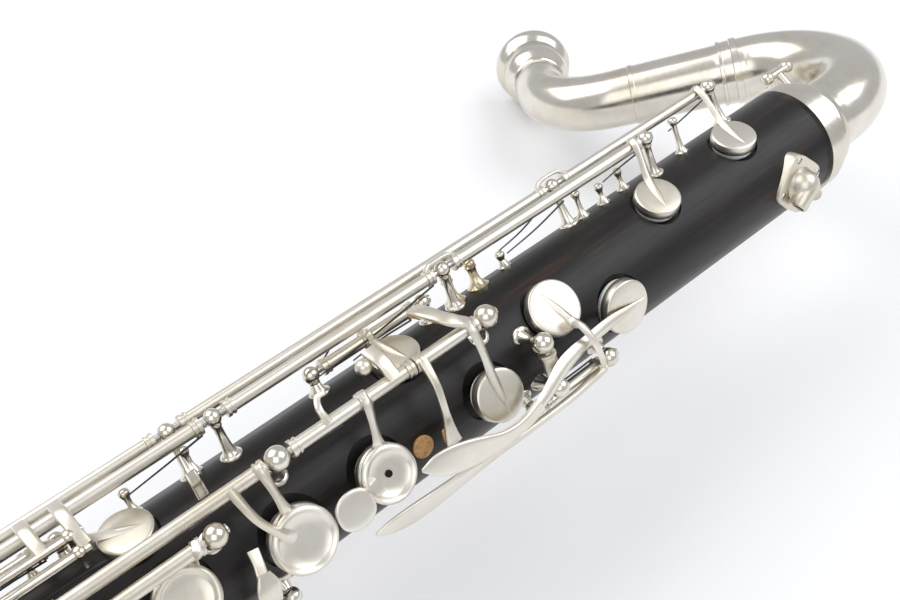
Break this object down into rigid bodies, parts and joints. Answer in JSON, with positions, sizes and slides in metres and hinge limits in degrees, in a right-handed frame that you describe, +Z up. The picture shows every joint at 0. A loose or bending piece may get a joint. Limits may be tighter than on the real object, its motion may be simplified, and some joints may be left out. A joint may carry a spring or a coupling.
{
  "type": "bass clarinet",
  "caption": "Bass clarinet with a dark wooden body, curved metal neck and upturned bell, sprung nickel keys on long rods, lying on its back.",
  "frame": {"origin": "on the table, below the centre of the whole instrument", "axes": "+X along the instrument towards the neck, -Y towards the side that shows the finger plates, +Z up"},
  "size_m": [0.855, 0.3655, 0.1424],
  "materials": {
    "grenadilla": "satin oiled hardwood",
    "nickel": "polished nickel plate",
    "key_nickel": "polished nickel plate, lightly worn",
    "rod_steel": "ground steel",
    "pad_skin": "felt pad under thin skin"
  },
  "bodies": {
    "instrument": {"wood_body": "grenadilla", "top_ring": "nickel", "bottom_ring": "nickel", "neck_lower": "nickel", "neck_sleeve": "nickel", "neck_upper": "nickel", "mouthpiece_socket": "nickel", "neck_screw": "nickel", "bell_bow": "nickel", "bell_flare": "nickel", "lyre_plate": "nickel", "lyre_screws": "nickel", "side_posts": "nickel", "stack_posts": "nickel", "throat_posts": "nickel", "back_posts": "nickel", "low_posts": "nickel", "hinge_rods": "rod_steel", "thumb_rest": "nickel", "strap_ring": "nickel", "peg_clamp": "nickel"},
    "trill_key_high": {"trill_key_high": "key_nickel", "trill_high_pad": "pad_skin"},
    "trill_key_low": {"trill_key_low": "key_nickel", "trill_low_pad": "pad_skin"},
    "side_key_high": {"side_key_high": "key_nickel", "side_high_pad": "pad_skin"},
    "side_key_low": {"side_key_low": "key_nickel", "side_low_pad": "pad_skin"},
    "throat_g_key": {"throat_g_key": "key_nickel", "throat_g_pad": "pad_skin"},
    "throat_a_key": {"throat_a_key": "key_nickel", "throat_a_pad": "pad_skin"},
    "upper_vent_key": {"upper_vent_key": "key_nickel", "upper_vent_pad": "pad_skin"},
    "first_plate_key": {"first_plate_key": "key_nickel", "first_pad": "pad_skin"},
    "second_plate_key": {"second_plate_key": "key_nickel", "second_pad": "pad_skin"},
    "third_plate_key": {"third_plate_key": "key_nickel", "third_pad": "pad_skin"},
    "sliver_key": {"sliver_key": "key_nickel"},
    "register_key": {"register_key": "key_nickel", "register_pad": "pad_skin"},
    "thumb_key": {"thumb_key": "key_nickel", "thumb_pad": "pad_skin"},
    "fourth_plate_key": {"fourth_plate_key": "key_nickel", "fourth_pad": "pad_skin"},
    "fifth_plate_key": {"fifth_plate_key": "key_nickel", "fifth_pad": "pad_skin"},
    "sixth_plate_key": {"sixth_plate_key": "key_nickel", "sixth_pad": "pad_skin"},
    "low_g_key": {"low_g_key": "key_nickel", "low_g_pad": "pad_skin"},
    "low_f_key": {"low_f_key": "key_nickel", "low_f_pad": "pad_skin"},
    "low_e_key": {"low_e_key": "key_nickel", "low_e_pad": "pad_skin"},
    "low_e_flat_key": {"low_e_flat_key": "key_nickel", "low_e_flat_pad": "pad_skin"}
  },
  "joints": [
    {"name": "trill_high_hinge", "type": "hinge", "parent": "instrument", "child": "trill_key_high", "pos_m": [0.16003, 0.03651, 0.08099], "axis": [0.9985, 0, 0.0548], "range_deg": [-8, 0], "stiffness_Nm_per_rad": 0.06, "springref_deg": 20.05},
    {"name": "trill_low_hinge", "type": "hinge", "parent": "instrument", "child": "trill_key_low", "pos_m": [0.17129, 0.03061, 0.08388], "axis": [0.9985, 0, 0.0548], "range_deg": [-8, 0], "stiffness_Nm_per_rad": 0.06, "springref_deg": 20.05},
    {"name": "side_high_hinge", "type": "hinge", "parent": "instrument", "child": "side_key_high", "pos_m": [0.19283, 0.03041, 0.07837], "axis": [0.9985, 0, 0.0548], "range_deg": [-8, 0], "stiffness_Nm_per_rad": 0.06, "springref_deg": 20.05},
    {"name": "side_low_hinge", "type": "hinge", "parent": "instrument", "child": "side_key_low", "pos_m": [0.09103, 0.03041, 0.07278], "axis": [0.9985, 0, 0.0548], "range_deg": [-8, 0], "stiffness_Nm_per_rad": 0.06, "springref_deg": 20.05},
    {"name": "throat_g_hinge", "type": "hinge", "parent": "instrument", "child": "throat_g_key", "pos_m": [0.2268, -0.00399, 0.07059], "axis": [0.0496, -0.4253, -0.9037], "range_deg": [0, 5], "stiffness_Nm_per_rad": 0.06, "springref_deg": -20.05},
    {"name": "throat_a_hinge", "type": "hinge", "parent": "instrument", "child": "throat_a_key", "pos_m": [0.20573, -0.00433, 0.05581], "axis": [0.9985, 0, 0.0548], "range_deg": [0, 8], "stiffness_Nm_per_rad": 0.06, "springref_deg": -20.05},
    {"name": "upper_vent_hinge", "type": "hinge", "parent": "instrument", "child": "upper_vent_key", "pos_m": [0.20342, 0.00916, 0.08581], "axis": [0.9985, 0, 0.0548], "range_deg": [0, 8], "stiffness_Nm_per_rad": 0.06, "springref_deg": -20.05},
    {"name": "first_plate_hinge", "type": "hinge", "parent": "instrument", "child": "first_plate_key", "pos_m": [0.17258, 0.00916, 0.08411], "axis": [0.9985, 0, 0.0548], "range_deg": [0, 8], "stiffness_Nm_per_rad": 0.06, "springref_deg": -20.05},
    {"name": "second_plate_hinge", "type": "hinge", "parent": "instrument", "child": "second_plate_key", "pos_m": [0.12351, 0.00916, 0.08142], "axis": [0.9985, 0, 0.0548], "range_deg": [0, 8], "stiffness_Nm_per_rad": 0.06, "springref_deg": -20.05},
    {"name": "third_plate_hinge", "type": "hinge", "parent": "instrument", "child": "third_plate_key", "pos_m": [0.11075, 0.00344, 0.07755], "axis": [0.9985, 0, 0.0548], "range_deg": [0, 8], "stiffness_Nm_per_rad": 0.06, "springref_deg": -20.05},
    {"name": "sliver_hinge", "type": "hinge", "parent": "instrument", "child": "sliver_key", "pos_m": [0.1327, -0.00263, 0.04805], "axis": [0.9985, 0, 0.0548], "range_deg": [-6, 0], "stiffness_Nm_per_rad": 0.06, "springref_deg": 20.05},
    {"name": "register_hinge", "type": "hinge", "parent": "instrument", "child": "register_key", "pos_m": [0.25398, 0.03081, 0.03976], "axis": [0.9985, 0, 0.0548], "range_deg": [-8, 0], "stiffness_Nm_per_rad": 0.06, "springref_deg": 20.05},
    {"name": "thumb_hinge", "type": "hinge", "parent": "instrument", "child": "thumb_key", "pos_m": [0.18033, 0.02624, 0.03325], "axis": [0.9985, 0, 0.0548], "range_deg": [0, 8], "stiffness_Nm_per_rad": 0.06, "springref_deg": -20.05},
    {"name": "fourth_plate_hinge", "type": "hinge", "parent": "instrument", "child": "fourth_plate_key", "pos_m": [-0.04869, 0.00916, 0.07197], "axis": [0.9985, 0, 0.0548], "range_deg": [0, 8], "stiffness_Nm_per_rad": 0.06, "springref_deg": -20.05},
    {"name": "fifth_plate_hinge", "type": "hinge", "parent": "instrument", "child": "fifth_plate_key", "pos_m": [-0.08663, 0.00916, 0.06989], "axis": [0.9985, 0, 0.0548], "range_deg": [0, 8], "stiffness_Nm_per_rad": 0.06, "springref_deg": -20.05},
    {"name": "sixth_plate_hinge", "type": "hinge", "parent": "instrument", "child": "sixth_plate_key", "pos_m": [-0.12307, 0.00916, 0.06789], "axis": [0.9985, 0, 0.0548], "range_deg": [0, 8], "stiffness_Nm_per_rad": 0.06, "springref_deg": -20.05},
    {"name": "low_g_hinge", "type": "hinge", "parent": "instrument", "child": "low_g_key", "pos_m": [-0.16593, 0.00835, 0.0695], "axis": [0.9985, 0, 0.0548], "range_deg": [-8, 0], "stiffness_Nm_per_rad": 0.06, "springref_deg": 20.05},
    {"name": "low_f_hinge", "type": "hinge", "parent": "instrument", "child": "low_f_key", "pos_m": [-0.20816, 0.00835, 0.06719], "axis": [0.9985, 0, 0.0548], "range_deg": [0, 8], "stiffness_Nm_per_rad": 0.06, "springref_deg": -20.05},
    {"name": "low_e_hinge", "type": "hinge", "parent": "instrument", "child": "low_e_key", "pos_m": [-0.25609, 0.00835, 0.06456], "axis": [0.9985, 0, 0.0548], "range_deg": [0, 8], "stiffness_Nm_per_rad": 0.06, "springref_deg": -20.05},
    {"name": "low_e_flat_hinge", "type": "hinge", "parent": "instrument", "child": "low_e_flat_key", "pos_m": [-0.30302, 0.00835, 0.06198], "axis": [0.9985, 0, 0.0548], "range_deg": [0, 8], "stiffness_Nm_per_rad": 0.06, "springref_deg": -20.05}
  ],
  "couplings": [
    {"joint": "upper_vent_hinge", "follows": "first_plate_hinge", "ratio": 1}
  ]
}
